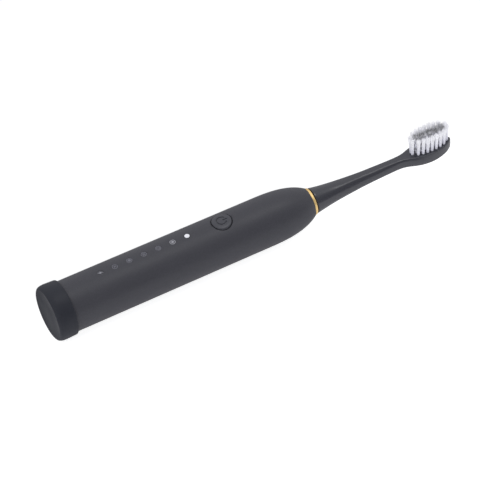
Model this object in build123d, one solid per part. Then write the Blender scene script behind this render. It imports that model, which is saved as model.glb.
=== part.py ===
from build123d import *

import math
import os

# A sonic toothbrush lying on its back: its axis runs along +X from the foot to the tip of the brush
# head, and the button and the bristles face +Z. Everything is drawn first with the foot's face at
# X = 0 and the axis at Y = Z = 0, and put on the ground at the very end. Millimetres throughout.

# Driving dimensions
LENGTH = 237.4
BASE_RADIUS = 14.0
FOOT_RADIUS = 15.4
FOOT_LENGTH = 10.5
FOOT_FLOOR = 1.9
SHELL_START = 2.0
TAPER_START = 18.0
SHOULDER_START = 122.0
SHOULDER_RADIUS = 13.6
NOSE_X = 152.8
NOSE_RADIUS = 7.85
WALL = 1.65
NOSE_WALL = 3.0
CAVITY_NOSE_RADIUS = 6.6
BOSS_RADIUS = 5.4
BOSS_END = 154.1
SEAL_HOLE_RADIUS = 3.6

RING_RADIUS = 7.5
RING_START = 152.85
RING_END = 154.35

BUTTON_X = 102.0
BUTTON_RADIUS = 5.35
BUTTON_HOLE_RADIUS = 5.75
BUTTON_PROUD = 0.45
BUTTON_SKIRT = 11.0
BUTTON_WALL = 1.1
BUTTON_UNDERSIDE = 12.3
BUTTON_STEM_RADIUS = 1.5
SEAL_DEPTH = 0.45
SYMBOL_OUTER = 2.85
SYMBOL_INNER = 2.3
SYMBOL_GAP = 2.5
SYMBOL_BAR = (0.6, 3.3)
SYMBOL_BAR_WIDTH = 0.55
SYMBOL_FLOOR = 13.75
PLUNGER_RADIUS = 1.6
PLUNGER_TOP = 8.6

WINDOW_RADIUS = 1.65
WINDOW_RECESS = 0.06
WINDOW_BOTTOM = 12.3
CHARGE_LIGHT_X = 31.6
MODE_LIGHT_PITCH = 8.37
MODE_LIGHTS = 6

SHAFT_RADIUS = 2.0
SHAFT_START = 110.4
SHAFT_END = 175.5
SHAFT_FLAT_START = 158.0
SHAFT_FLAT_Z = -1.65
RUNNING_GAP = 0.03
FIT_GAP = 0.02

BOARD_BOTTOM = 5.15
BOARD_TOP = 6.15
BOARD_START = 19.2
BOARD_END = 107.0
BOARD_HALF_WIDTH = 8.6

CELL_RADIUS = 7.0
CELL_LENGTH = 50.0
CELL_START = 19.2
CELL_Z = -4.2

MOTOR_START = 110.0
MOTOR_END = 143.0
MOTOR_RADIUS = 9.0
MOTOR_WALL = 0.5

COLLAR_START = 154.9
COLLAR_RADIUS = 7.05
PLATE_TOP = 3.5
PLATE_BOTTOM = -2.4
TUFT_PITCH = 2.55
TUFT_COLUMNS = 9
TUFT_FIRST_X = 214.5
TUFT_RADIUS = 0.78
TUFT_TOP_RADIUS = 1.0
TUFT_TOP = 14.7
TUFT_ROOT = 0.8
INNER_ROW_Y = 0.85
OUTER_ROW_Y = 3.6
FIELD_HALF_LENGTH = 11.0
BRISTLE_LEAN = 0.5
BRISTLE_FLARE = 0.75


# Shared shapes
def rod(start, end, radius, y=0.0, z=0.0):
    """A round bar along X."""
    standing = Cylinder(radius, end - start, align=(Align.CENTER, Align.CENTER, Align.MIN))
    return Pos(start, y, z) * Rot(0, 90, 0) * standing


def pipe(start, end, outer, inner, y=0.0, z=0.0):
    """A round tube along X."""
    return rod(start, end, outer, y, z) - rod(start - 1, end + 1, inner, y, z)


def post(x, y, bottom, top, radius):
    """A round bar along Z."""
    return Pos(x, y, bottom) * Cylinder(radius, top - bottom, align=(Align.CENTER, Align.CENTER, Align.MIN))


def block(x_range, y_range, z_range):
    """A box between two corners."""
    size = [high - low for low, high in (x_range, y_range, z_range)]
    middle = [(high + low) / 2 for low, high in (x_range, y_range, z_range)]
    return Pos(*middle) * Box(*size)


def turned(outline):
    """A solid of revolution about X, with its seam along the underside."""
    return Rot(-90, 0, 0) * revolve(make_face(outline), Axis.X)


def light_places():
    """Where the lamps stand along X: the charging light first, then the mode lights."""
    return [CHARGE_LIGHT_X + MODE_LIGHT_PITCH * step for step in range(MODE_LIGHTS + 1)]


# Handle
def shoulder_curve():
    """The ogive from the end of the straight body to the nose."""
    return Spline((SHOULDER_START, SHOULDER_RADIUS), (135.0, 13.2), (144.0, 11.65), (150.0, 9.55),
                  (NOSE_X, NOSE_RADIUS), tangents=[(1, -0.004), (1, -0.8)])


def handle_outside():
    """The handle's outer form: a slight taper, then an ogive shoulder down to the nose."""
    body = Polyline((SHELL_START, 0), (SHELL_START, BASE_RADIUS), (TAPER_START, BASE_RADIUS),
                    (SHOULDER_START, SHOULDER_RADIUS))
    nose = Polyline((NOSE_X, NOSE_RADIUS), (NOSE_X, 0), (SHELL_START, 0))
    return turned(body + shoulder_curve() + nose)


def make_handle_shell():
    """One turned wall, open at the base, with a boss and a seal hole at the nose."""
    front = NOSE_X - NOSE_WALL
    body = Polyline((SHELL_START, BASE_RADIUS - WALL), (SHELL_START, BASE_RADIUS), (TAPER_START, BASE_RADIUS),
                    (SHOULDER_START, SHOULDER_RADIUS))
    nose = Polyline((NOSE_X, NOSE_RADIUS), (NOSE_X, BOSS_RADIUS), (BOSS_END, BOSS_RADIUS),
                    (BOSS_END, SEAL_HOLE_RADIUS), (front, SEAL_HOLE_RADIUS), (front, CAVITY_NOSE_RADIUS))
    cavity = Spline((front, CAVITY_NOSE_RADIUS), (143.0, 9.9), (135.0, 11.45),
                    (SHOULDER_START, SHOULDER_RADIUS - WALL), tangents=[(-1, 0.7), (-1, 0.004)])
    back = Polyline((SHOULDER_START, SHOULDER_RADIUS - WALL), (TAPER_START, BASE_RADIUS - WALL),
                    (SHELL_START, BASE_RADIUS - WALL))
    shell = turned(body + shoulder_curve() + nose + cavity + back)
    shell -= post(BUTTON_X, 0, 8.0, 16.0, BUTTON_HOLE_RADIUS)
    for x in light_places():
        shell -= post(x, 0, 8.0, 16.0, WINDOW_RADIUS + FIT_GAP)
    return shell


def make_end_cap():
    """Rubber foot: a cup over the base, slightly barrelled, with a flat face to stand on."""
    inner = BASE_RADIUS + FIT_GAP
    face = Polyline((FOOT_FLOOR, inner), (FOOT_FLOOR, 0), (0, 0), (0, 13.9), (0.9, 14.8))
    swell = ThreePointArc((0.9, 14.8), (2.2, 15.22), (4.0, FOOT_RADIUS))
    rim = Polyline((4.0, FOOT_RADIUS), (FOOT_LENGTH - 0.4, 15.2), (FOOT_LENGTH, 14.8), (FOOT_LENGTH, inner),
                   (FOOT_FLOOR, inner))
    return turned(face + swell + rim)


def make_neck_ring():
    ring = pipe(RING_START, RING_END, RING_RADIUS, BOSS_RADIUS + FIT_GAP)
    return fillet(ring.edges().filter_by(GeomType.CIRCLE).group_by(SortBy.RADIUS)[-1], 0.25)


def window(x):
    """A clear plug whose top follows the handle's surface."""
    plug = post(x, 0, WINDOW_BOTTOM, 16.0, WINDOW_RADIUS)
    return plug & (Pos(0, 0, -WINDOW_RECESS) * handle_outside())


def make_mode_windows():
    return Compound(children=[window(x) for x in light_places()[1:]])


def make_charge_window():
    return window(light_places()[0])


def power_symbol():
    """A broken ring with a bar through the gap, as a cutter that stands on the engraving's floor."""
    ring = post(0, 0, SYMBOL_FLOOR, 16.0, SYMBOL_OUTER) - post(0, 0, SYMBOL_FLOOR - 1, 17.0, SYMBOL_INNER)
    gap = block((0, SYMBOL_OUTER + 1), (-SYMBOL_GAP / 2, SYMBOL_GAP / 2), (SYMBOL_FLOOR - 1, 17.0))
    bar = block(SYMBOL_BAR, (-SYMBOL_BAR_WIDTH / 2, SYMBOL_BAR_WIDTH / 2), (SYMBOL_FLOOR, 16.0))
    return ring - gap + bar


def make_power_button():
    """Hollow cap, a little proud of the handle, with a stem that reaches the switch."""
    cap = post(BUTTON_X, 0, BUTTON_SKIRT, 16.0, BUTTON_RADIUS)
    cap &= Pos(0, 0, BUTTON_PROUD) * handle_outside()
    cap -= post(BUTTON_X, 0, BUTTON_SKIRT - 1, BUTTON_UNDERSIDE, BUTTON_RADIUS - BUTTON_WALL)
    cap -= Pos(BUTTON_X, 0, 0) * power_symbol()
    return cap + post(BUTTON_X, 0, PLUNGER_TOP + FIT_GAP, BUTTON_UNDERSIDE, BUTTON_STEM_RADIUS)


def make_button_seal():
    """Rubber web that closes the groove round the button."""
    hole = post(BUTTON_X, 0, 9.0, 18.0, BUTTON_RADIUS)
    ring = post(BUTTON_X, 0, BUTTON_SKIRT + 0.1, 16.0, BUTTON_HOLE_RADIUS) - hole
    return ring & (Pos(0, 0, -SEAL_DEPTH) * handle_outside())


# Charging base
PLUG_START, PLUG_FLOOR_END, PLUG_END = 2.2, 3.7, 10.0
PLUG_RADIUS = BASE_RADIUS - WALL - 0.05
PLUG_WALL = 1.9
O_RING_X, O_RING_THICKNESS, O_RING_GROOVE_DEPTH = 6.6, 1.0, 1.0
CORE_START, CORE_END, CORE_RADIUS = 3.9, 12.5, 4.0
BOBBIN_START, BOBBIN_END = 4.2, 12.2
BOBBIN_DRUM_RADIUS, BOBBIN_FLANGE_RADIUS, BOBBIN_FLANGE = 4.9, 9.5, 0.8
WINDING_RADIUS = 9.0
COIL_LEAD_RADIUS, COIL_LEAD_END, COIL_LEAD_Y = 0.4, 20.6, 3.4


def make_base_plug():
    """Inner closure of the tube: a cup that holds the charging coil and an O-ring."""
    cup = rod(PLUG_START, PLUG_END, PLUG_RADIUS) - rod(PLUG_FLOOR_END, PLUG_END + 1, PLUG_RADIUS - PLUG_WALL)
    half_groove = O_RING_THICKNESS / 2 + 0.1
    return cup - pipe(O_RING_X - half_groove, O_RING_X + half_groove, PLUG_RADIUS + 1,
                      PLUG_RADIUS - O_RING_GROOVE_DEPTH)


def make_base_o_ring():
    ring = Torus(BASE_RADIUS - WALL - O_RING_THICKNESS / 2 - FIT_GAP, O_RING_THICKNESS / 2)
    return Pos(O_RING_X, 0, 0) * Rot(0, 90, 0) * ring


def make_coil_core():
    return rod(CORE_START, CORE_END, CORE_RADIUS)


def make_coil_bobbin():
    drum = pipe(BOBBIN_START, BOBBIN_END, BOBBIN_DRUM_RADIUS, CORE_RADIUS + FIT_GAP)
    for start in (BOBBIN_START, BOBBIN_END - BOBBIN_FLANGE):
        drum += pipe(start, start + BOBBIN_FLANGE, BOBBIN_FLANGE_RADIUS, BOBBIN_DRUM_RADIUS - 0.4)
    return drum


def make_charging_coil():
    return pipe(BOBBIN_START + BOBBIN_FLANGE, BOBBIN_END - BOBBIN_FLANGE, WINDING_RADIUS, BOBBIN_DRUM_RADIUS)


def make_coil_leads():
    height = BOARD_TOP + COIL_LEAD_RADIUS + FIT_GAP
    return Compound(children=[rod(BOBBIN_END, COIL_LEAD_END, COIL_LEAD_RADIUS, y, height)
                              for y in (-COIL_LEAD_Y, COIL_LEAD_Y)])


# Carrier, cell and board
CARRIER_RADIUS = 11.9
CARRIER_START = 17.0
CELL_END = CELL_START + CELL_LENGTH
TAB_THICKNESS, TAB_UPRIGHT_THICKNESS = 0.15, 0.18
TAB_HALF_WIDTH, TAB_REACH, TAB_PAD_LENGTH = 2.5, 3.0, 2.2
TAB_BOTTOM = BOARD_TOP + 0.1
SCREW_PLACES = [(x, y) for x in (24.5, 94.0) for y in (-6.8, 6.8)]


def make_chassis():
    """Carrier that slides into the tube: a floor under the board, two end walls and a saddle."""
    floor = block((CARRIER_START, BOARD_END), (-9.4, 9.4), (4.1, 5.1))
    below = block((0, 200), (-20, 20), (-20, 4.1))
    walls = rod(CARRIER_START, CELL_START - 0.6, CARRIER_RADIUS) & below
    walls += rod(CELL_END + 0.6, CELL_END + 2.2, CARRIER_RADIUS) & below
    saddle = pipe(CARRIER_START, CELL_END + 2.2, CARRIER_RADIUS, CARRIER_RADIUS - 0.6)
    saddle &= block((0, 200), (-20, 20), (-20, -6.0))
    carrier = floor + walls + saddle
    for end in (CELL_START - 0.3, CELL_END + 0.3):
        carrier -= block((end - 0.3, end + 0.3), (-3.2, 3.2), (4.0, 5.2))
    for x, y in SCREW_PLACES:
        carrier -= post(x, y, 3, 6, 0.9)
    return carrier


def make_battery_cell():
    cell = rod(CELL_START, CELL_END - 1.0, CELL_RADIUS, 0, CELL_Z)
    cell = chamfer(cell.edges().filter_by(GeomType.CIRCLE), 0.4)
    return cell + rod(CELL_END - 1.5, CELL_END, 2.8, 0, CELL_Z)


def make_battery_tabs():
    """Nickel strips from the cell's ends up to pads on the board."""
    width = (-TAB_HALF_WIDTH, TAB_HALF_WIDTH)
    upright = (CELL_Z - TAB_REACH, TAB_BOTTOM + TAB_THICKNESS)
    flat = (TAB_BOTTOM, TAB_BOTTOM + TAB_THICKNESS)
    tabs = []
    for start in (CELL_START - FIT_GAP - TAB_UPRIGHT_THICKNESS, CELL_END + FIT_GAP):
        tab = block((start, start + TAB_UPRIGHT_THICKNESS), width, upright)
        tabs.append(tab + block((start, start + TAB_PAD_LENGTH), width, flat))
    return Compound(children=tabs)


def make_battery_pad():
    return block((CELL_START + 5, CELL_END - 6), (-3, 3), (CELL_Z + CELL_RADIUS + 0.05, 4.05))


def make_circuit_board():
    board = block((BOARD_START, BOARD_END), (-BOARD_HALF_WIDTH, BOARD_HALF_WIDTH), (BOARD_BOTTOM, BOARD_TOP))
    board -= block((CELL_END - 0.2, CELL_END + 0.5), (-3.0, 3.0), (4, 8))
    for x, y in SCREW_PLACES:
        board -= post(x, y, 4, 8, 1.0)
    return board


def make_board_screws():
    screws = []
    for x, y in SCREW_PLACES:
        screw = post(x, y, 4.1, BOARD_TOP, 0.88) + post(x, y, BOARD_TOP, BOARD_TOP + 0.9, 1.7)
        slot = Pos(x, y, BOARD_TOP + 0.9) * Box(2.2, 0.4, 0.8) + Pos(x, y, BOARD_TOP + 0.9) * Box(0.4, 2.2, 0.8)
        screws.append(screw - slot)
    return Compound(children=screws)


CHIPS = [(34.0, 5.6, 5.0, 4.0, 1.0), (50.0, -5.6, 4.0, 4.0, 0.9), (62.0, 5.4, 6.0, 3.6, 1.4),
         (79.0, -5.4, 3.0, 3.0, 1.2), (88.0, 5.6, 3.0, 1.6, 1.1), (88.0, -2.6, 2.0, 1.2, 0.8)]


def make_board_chips():
    chips = []
    for x, y, length, width, height in CHIPS:
        chips.append(block((x - length / 2, x + length / 2), (y - width / 2, y + width / 2),
                           (BOARD_TOP, BOARD_TOP + height)))
    return Compound(children=chips)


def make_indicator_lights():
    return Compound(children=[block((x - 0.8, x + 0.8), (-0.5, 0.5), (BOARD_TOP, BOARD_TOP + 0.6))
                              for x in light_places()])


def make_light_guide():
    """Opaque block with one well for each lamp, so that a lamp lights its own window only."""
    places = light_places()
    guide = block((places[0] - 3.2, places[-1] + 3.2), (-2.4, 2.4), (BOARD_TOP + 0.75, 11.6))
    for x in places:
        guide -= post(x, 0, 6, 12, 1.5)
    return guide


SWITCH_HALF_SIZE, SWITCH_HEIGHT, SWITCH_FLOOR, PLUNGER_CLEARANCE = 3.0, 1.8, 0.5, 0.55
MOTOR_LEAD_RADIUS, MOTOR_LEAD_START, MOTOR_LEAD_Y = 0.45, 104.6, 5.2


def make_button_switch():
    case = block((BUTTON_X - SWITCH_HALF_SIZE, BUTTON_X + SWITCH_HALF_SIZE), (-SWITCH_HALF_SIZE, SWITCH_HALF_SIZE),
                 (BOARD_TOP, BOARD_TOP + SWITCH_HEIGHT))
    return case - post(BUTTON_X, 0, BOARD_TOP + SWITCH_FLOOR, BOARD_TOP + SWITCH_HEIGHT + 1, PLUNGER_RADIUS + 0.05)


def make_switch_plunger():
    return post(BUTTON_X, 0, BOARD_TOP + SWITCH_FLOOR + PLUNGER_CLEARANCE, PLUNGER_TOP, PLUNGER_RADIUS)


def make_motor_leads():
    return Compound(children=[rod(MOTOR_LEAD_START, MOTOR_START, MOTOR_LEAD_RADIUS, y,
                                  BOARD_TOP + MOTOR_LEAD_RADIUS + FIT_GAP)
                              for y in (-MOTOR_LEAD_Y, MOTOR_LEAD_Y)])


# Motor
MOTOR_END_WALL = 0.8
BEARING_RADIUS, BEARING_LENGTH, BEARING_NOSE = 3.4, 3.0, 0.6
STATOR_MIDDLE, STATOR_LENGTH, YOKE_INNER_RADIUS = 126.0, 16.0, 7.9
TOOTH_LENGTH, TOOTH_HALF_WIDTH, TOOTH_TIP = 11.0, 1.8, 5.5
COIL_LENGTH, COIL_HALF_HEIGHT, COIL_REACH = 14.8, 3.3, (5.95, 7.1)
ROTOR_CORE_RADIUS, ROTOR_CORE_LENGTH = 3.6, 15.0
MAGNET_RADIUS, MAGNET_LENGTH, MAGNET_HALF_WIDTH, MAGNET_START_Y = 5.2, 13.0, 3.0, 2.0
SPRING_START, SPRING_THICKNESS, SPRING_HUB_RADIUS, SPRING_ARM_HALF_WIDTH = 136.6, 0.6, 3.2, 0.8
DAMPER_LENGTH = 3.0
DAMPERS = [(112.0, 11.8), (133.5, 11.0)]
SEAL_START, SEAL_END, SEAL_FLANGE_RADIUS = 148.0, 154.5, 5.2


def about_stator(length):
    """The stretch of X that a piece of the motor takes, centred on the stator."""
    return STATOR_MIDDLE - length / 2, STATOR_MIDDLE + length / 2


def make_motor_can():
    can = rod(MOTOR_START, MOTOR_END, MOTOR_RADIUS)
    can -= rod(MOTOR_START + MOTOR_END_WALL, MOTOR_END - MOTOR_END_WALL, MOTOR_RADIUS - MOTOR_WALL)
    return can - rod(MOTOR_START - 1, MOTOR_END + 1, BEARING_RADIUS)


def make_rear_bearing():
    return pipe(MOTOR_START, MOTOR_START + BEARING_LENGTH, BEARING_RADIUS, SHAFT_RADIUS + RUNNING_GAP)


def make_front_bearing():
    return pipe(MOTOR_END - BEARING_LENGTH, MOTOR_END + BEARING_NOSE, BEARING_RADIUS, SHAFT_RADIUS + RUNNING_GAP)


def make_stator_yoke():
    """Laminated ring with two teeth that face the magnets."""
    ring = pipe(*about_stator(STATOR_LENGTH), MOTOR_RADIUS - MOTOR_WALL, YOKE_INNER_RADIUS)
    for low, high in ((TOOTH_TIP, YOKE_INNER_RADIUS + 0.2), (-YOKE_INNER_RADIUS - 0.2, -TOOTH_TIP)):
        ring += block(about_stator(TOOTH_LENGTH), (low, high), (-TOOTH_HALF_WIDTH, TOOTH_HALF_WIDTH))
    return ring - rod(*about_stator(STATOR_LENGTH + 2), TOOTH_TIP)


def make_stator_coil():
    inside = TOOTH_HALF_WIDTH + 0.1
    coils = []
    for span in (COIL_REACH, (-COIL_REACH[1], -COIL_REACH[0])):
        loop = block(about_stator(COIL_LENGTH), span, (-COIL_HALF_HEIGHT, COIL_HALF_HEIGHT))
        coils.append(loop - block(about_stator(TOOTH_LENGTH + 0.2), (-9, 9), (-inside, inside)))
    return Compound(children=coils)


def make_rotor_core():
    return pipe(*about_stator(ROTOR_CORE_LENGTH), ROTOR_CORE_RADIUS, SHAFT_RADIUS)


def make_rotor_magnets():
    """Two curved magnets on the core, facing the teeth."""
    sleeve = pipe(*about_stator(MAGNET_LENGTH), MAGNET_RADIUS, ROTOR_CORE_RADIUS)
    reach = MAGNET_RADIUS + 1
    spans = ((MAGNET_START_Y, reach), (-reach, -MAGNET_START_Y))
    return Compound(children=[sleeve & block(about_stator(MAGNET_LENGTH + 1), span,
                                             (-MAGNET_HALF_WIDTH, MAGNET_HALF_WIDTH)) for span in spans])


def make_drive_shaft():
    shaft = rod(SHAFT_START, SHAFT_END, SHAFT_RADIUS)
    shaft = chamfer(shaft.edges().filter_by(GeomType.CIRCLE), 0.3)
    return shaft - block((SHAFT_FLAT_START, SHAFT_END + 1), (-3, 3), (-4, SHAFT_FLAT_Z))


def make_centring_spring():
    """Flat spring: a hub round the shaft and two arms out to the can."""
    stretch = (SPRING_START, SPRING_START + SPRING_THICKNESS)
    spring = pipe(*stretch, SPRING_HUB_RADIUS, SHAFT_RADIUS + 0.05)
    reach = MOTOR_RADIUS - MOTOR_WALL - 0.05
    for span in ((SPRING_HUB_RADIUS - 0.2, reach), (-reach, 0.2 - SPRING_HUB_RADIUS)):
        spring += block(stretch, (-SPRING_ARM_HALF_WIDTH, SPRING_ARM_HALF_WIDTH), span)
    return spring


def make_motor_damper():
    return Compound(children=[pipe(start, start + DAMPER_LENGTH, radius, MOTOR_RADIUS) for start, radius in DAMPERS])


def make_shaft_seal():
    seal = rod(SEAL_START, SEAL_END, SEAL_HOLE_RADIUS - FIT_GAP)
    seal += rod(SEAL_START, NOSE_X - NOSE_WALL - FIT_GAP, SEAL_FLANGE_RADIUS)
    return seal - rod(SEAL_START - 1, SEAL_END + 1, SHAFT_RADIUS + RUNNING_GAP)


# Brush head
COLLAR_CAVITY_END, COLLAR_CAVITY_RADIUS = 158.9, 5.0
SOCKET_START, SOCKET_END, SOCKET_RADIUS = 157.6, 176.6, 3.2
CLIP_START, CLIP_END, CLIP_BOTTOM = 160.0, 172.0, -2.0

# Each section of the neck: x, height of its middle, half width, half height
NECK_SECTIONS = [(COLLAR_START, 0.0, COLLAR_RADIUS, COLLAR_RADIUS), (160.0, 0.0, 6.17, 6.17),
                 (168.0, 0.1, 5.06, 5.06), (176.0, 0.2, 4.33, 4.33), (184.0, 0.36, 3.76, 3.76),
                 (192.0, 0.55, 3.45, 3.4), (200.0, 0.65, 3.3, 3.15), (207.0, 0.42, 3.3, 2.56),
                 (213.0, 0.3, 3.6, 2.3)]
PLATE_BACK_ROUNDING, PLATE_EDGE_ROUNDING = 1.5, 0.4
PLATE_HALF_OUTLINE = [(203.0, 2.5), (208.0, 3.05), (212.0, 4.3), (216.0, 5.45), (220.0, 6.1), (224.0, 6.25),
                      (228.0, 5.9), (232.0, 4.85), (235.6, 2.9)]


def neck_section(x, middle_z, half_width, half_height):
    across = Plane(origin=(x, 0, middle_z), x_dir=(0, 1, 0), z_dir=(1, 0, 0))
    return across * Ellipse(half_width, half_height)


def make_plate():
    """The oval plate that carries the bristles, with a flat top and a rounded back."""
    near = [(x, -y) for x, y in PLATE_HALF_OUTLINE]
    far = [(x, y) for x, y in reversed(PLATE_HALF_OUTLINE)]
    edge = Spline(*near, (LENGTH, 0), *far)
    face = make_face(edge + Line(far[-1], near[0]))
    plate = Pos(0, 0, PLATE_BOTTOM) * extrude(face, PLATE_TOP - PLATE_BOTTOM)
    low_edge = plate.faces().sort_by(Axis.Z)[0].edges().sort_by(SortBy.LENGTH)[-1]
    plate = fillet(low_edge, PLATE_BACK_ROUNDING)
    top_edge = plate.faces().sort_by(Axis.Z)[-1].edges().sort_by(SortBy.LENGTH)[-1]
    return fillet(top_edge, PLATE_EDGE_ROUNDING)


def tuft_places():
    """Columns of tufts along the plate: two in the end columns, four in the others."""
    outer, inner = [], []
    middle = TUFT_FIRST_X + TUFT_PITCH * (TUFT_COLUMNS - 1) / 2
    for column in range(TUFT_COLUMNS):
        x = TUFT_FIRST_X + TUFT_PITCH * column
        end_column = column in (0, TUFT_COLUMNS - 1)
        row_y = OUTER_ROW_Y * math.sqrt(1 - ((x - middle) / FIELD_HALF_LENGTH) ** 2)
        for side in (-1, 1):
            if end_column:
                outer.append((x, side * INNER_ROW_Y))
            else:
                inner.append((x, side * INNER_ROW_Y))
                outer.append((x, side * row_y))
    return outer, inner, middle


def tuft(x, y, middle):
    """A round bundle of bristles: straight in its hole, then fanning out to its cut end."""
    lean_x = BRISTLE_LEAN + BRISTLE_FLARE * (x - middle) / FIELD_HALF_LENGTH
    lean_y = y / OUTER_ROW_Y
    foot = Pos(x, y, PLATE_TOP) * Circle(TUFT_RADIUS)
    cut_end = Pos(x + lean_x, y + lean_y, TUFT_TOP) * Circle(TUFT_TOP_RADIUS)
    return loft([foot, cut_end]) + post(x, y, TUFT_ROOT, PLATE_TOP, TUFT_RADIUS)


def make_brush_head():
    body = loft([neck_section(*row) for row in NECK_SECTIONS]) + make_plate()
    body -= rod(COLLAR_START - 1, COLLAR_CAVITY_END, COLLAR_CAVITY_RADIUS)
    body -= rod(COLLAR_START - 1, SOCKET_END + 0.2, SOCKET_RADIUS + FIT_GAP)
    outer, inner, _ = tuft_places()
    for x, y in outer + inner:
        body -= post(x, y, TUFT_ROOT, PLATE_TOP + 1, TUFT_RADIUS + FIT_GAP)
    return body


def make_shaft_socket():
    """Insert in the neck that slides over the shaft, with a slot for its clip."""
    sleeve = rod(SOCKET_START, SOCKET_END, SOCKET_RADIUS)
    sleeve -= rod(SOCKET_START - 1, SHAFT_END + 0.4, SHAFT_RADIUS + RUNNING_GAP)
    return sleeve - block((CLIP_START - 0.2, CLIP_END + 0.2), (-1.15, 1.15), (CLIP_BOTTOM - 0.1, -1.0))


def make_socket_clip():
    return block((CLIP_START, CLIP_END), (-1.0, 1.0), (CLIP_BOTTOM, SHAFT_FLAT_Z - 0.06))


def make_outer_tufts():
    outer, _, middle = tuft_places()
    return Compound(children=[tuft(x, y, middle) for x, y in outer])


def make_inner_tufts():
    _, inner, middle = tuft_places()
    return Compound(children=[tuft(x, y, middle) for x, y in inner])


MAKERS = {
    "handle_shell": make_handle_shell,
    "end_cap": make_end_cap,
    "neck_ring": make_neck_ring,
    "mode_windows": make_mode_windows,
    "charge_window": make_charge_window,
    "power_button": make_power_button,
    "button_seal": make_button_seal,
    "base_plug": make_base_plug,
    "base_o_ring": make_base_o_ring,
    "coil_core": make_coil_core,
    "coil_bobbin": make_coil_bobbin,
    "charging_coil": make_charging_coil,
    "coil_leads": make_coil_leads,
    "chassis": make_chassis,
    "battery_cell": make_battery_cell,
    "battery_tabs": make_battery_tabs,
    "battery_pad": make_battery_pad,
    "circuit_board": make_circuit_board,
    "board_screws": make_board_screws,
    "board_chips": make_board_chips,
    "indicator_lights": make_indicator_lights,
    "light_guide": make_light_guide,
    "button_switch": make_button_switch,
    "switch_plunger": make_switch_plunger,
    "motor_leads": make_motor_leads,
    "motor_can": make_motor_can,
    "rear_bearing": make_rear_bearing,
    "front_bearing": make_front_bearing,
    "stator_yoke": make_stator_yoke,
    "stator_coil": make_stator_coil,
    "rotor_core": make_rotor_core,
    "rotor_magnets": make_rotor_magnets,
    "drive_shaft": make_drive_shaft,
    "centring_spring": make_centring_spring,
    "motor_damper": make_motor_damper,
    "shaft_seal": make_shaft_seal,
    "brush_head": make_brush_head,
    "shaft_socket": make_shaft_socket,
    "socket_clip": make_socket_clip,
    "outer_tufts": make_outer_tufts,
    "inner_tufts": make_inner_tufts,
}

# On the ground: the middle of the length over the origin, the foot resting at Z = 0
ON_THE_GROUND = Pos(-LENGTH / 2, 0, FOOT_RADIUS)

os.makedirs("parts", exist_ok=True)
for node, make in MAKERS.items():
    export_step(ON_THE_GROUND * make(), f"parts/{node}.step")
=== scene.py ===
import math
import random

import bmesh
import bpy
from mathutils import Matrix, Vector


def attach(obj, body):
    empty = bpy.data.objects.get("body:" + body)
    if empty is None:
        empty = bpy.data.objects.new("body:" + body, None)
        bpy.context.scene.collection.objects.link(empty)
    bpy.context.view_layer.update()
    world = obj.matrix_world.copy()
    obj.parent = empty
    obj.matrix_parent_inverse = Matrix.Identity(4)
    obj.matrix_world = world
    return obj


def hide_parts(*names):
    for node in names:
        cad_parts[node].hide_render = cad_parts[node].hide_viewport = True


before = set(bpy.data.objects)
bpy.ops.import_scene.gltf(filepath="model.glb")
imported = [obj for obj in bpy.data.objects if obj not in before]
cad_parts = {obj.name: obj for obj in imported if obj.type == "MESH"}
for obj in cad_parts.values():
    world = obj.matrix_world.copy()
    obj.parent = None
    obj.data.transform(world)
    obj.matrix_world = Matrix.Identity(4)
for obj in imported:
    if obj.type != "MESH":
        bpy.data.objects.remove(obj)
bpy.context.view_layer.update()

# Camera: a long lens, well back and above the brush's near side, with the foot at the lower left
# and the bristles at the upper right.
LENS_LENGTH, SENSOR_WIDTH, VIEW_LIMIT = 360.34, 36.0, 20.0
CAMERA_PLACE = (-0.7087, -1.5779, 1.8199)
CAMERA_TILT, CAMERA_ROLL, CAMERA_TURN = 43.516, 3.783, -27.942

camera_data = bpy.data.cameras.new("studio_camera")
camera_data.lens = LENS_LENGTH
camera_data.sensor_width = SENSOR_WIDTH
camera_data.clip_end = VIEW_LIMIT
camera = bpy.data.objects.new("studio_camera", camera_data)
bpy.context.scene.collection.objects.link(camera)
camera.location = CAMERA_PLACE
camera.rotation_euler = (math.radians(CAMERA_TILT), math.radians(CAMERA_ROLL), math.radians(CAMERA_TURN))
bpy.context.scene.camera = camera

# Studio: a pale floor that keeps only a faint shadow and has painted shade, a darker colour, behind the
# brush, a pale sky that is darker where the viewer stands, and a soft box overhead for the long streak on
# the handle.
FLOOR_SIZE, FLOOR_ROUGHNESS = 8.0, 0.9
# The far floor colour is painted shade: the floor is darker behind the brush, and the brush reflects it
NEAR_FLOOR, FAR_FLOOR_PAINTED_SHADE = (0.95, 0.95, 0.97, 1), (0.18, 0.18, 0.19, 1)
# Where the floor's painted shade starts and stops, and its glow as the camera and as the brush sees it
FLOOR_CHANGE_START, FLOOR_CHANGE_END = -0.03, 0.035
FLOOR_GLOW, FLOOR_SPILL = 0.85, 0.26
SKY_COLOUR = (0.98, 0.985, 1.0, 1)
HORIZON_LIGHT, ZENITH_LIGHT, BACKDROP_LIGHT = 0.66, 0.98, 1.0
# The direction of the sky's dark side, its share of the light, and how it fades, as cosines
DARK_SIDE, DARK_SIDE_LIGHT = (0.28, -0.84, 0.465), 0.3
DARK_SIDE_EDGE, DARK_SIDE_CORE = 0.6, 0.97
KEY_LIGHT_SIZE, KEY_LIGHT_POWER, KEY_LIGHT_PLACE = 0.6, 3.0, (0.45, -0.04, 1.54)

bpy.context.scene.view_settings.view_transform = "Standard"
floor_form = bmesh.new()
bmesh.ops.create_grid(floor_form, x_segments=2, y_segments=2, size=FLOOR_SIZE / 2)
floor_mesh = bpy.data.meshes.new("studio_floor")
floor_form.to_mesh(floor_mesh)
floor_form.free()
floor = bpy.data.objects.new("studio_floor", floor_mesh)
bpy.context.scene.collection.objects.link(floor)


def add_nodes(tree, **kinds):
    """Adds nodes to a tree by kind and returns them by the names given."""
    return {name: tree.nodes.new(kind) for name, kind in kinds.items()}


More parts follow.
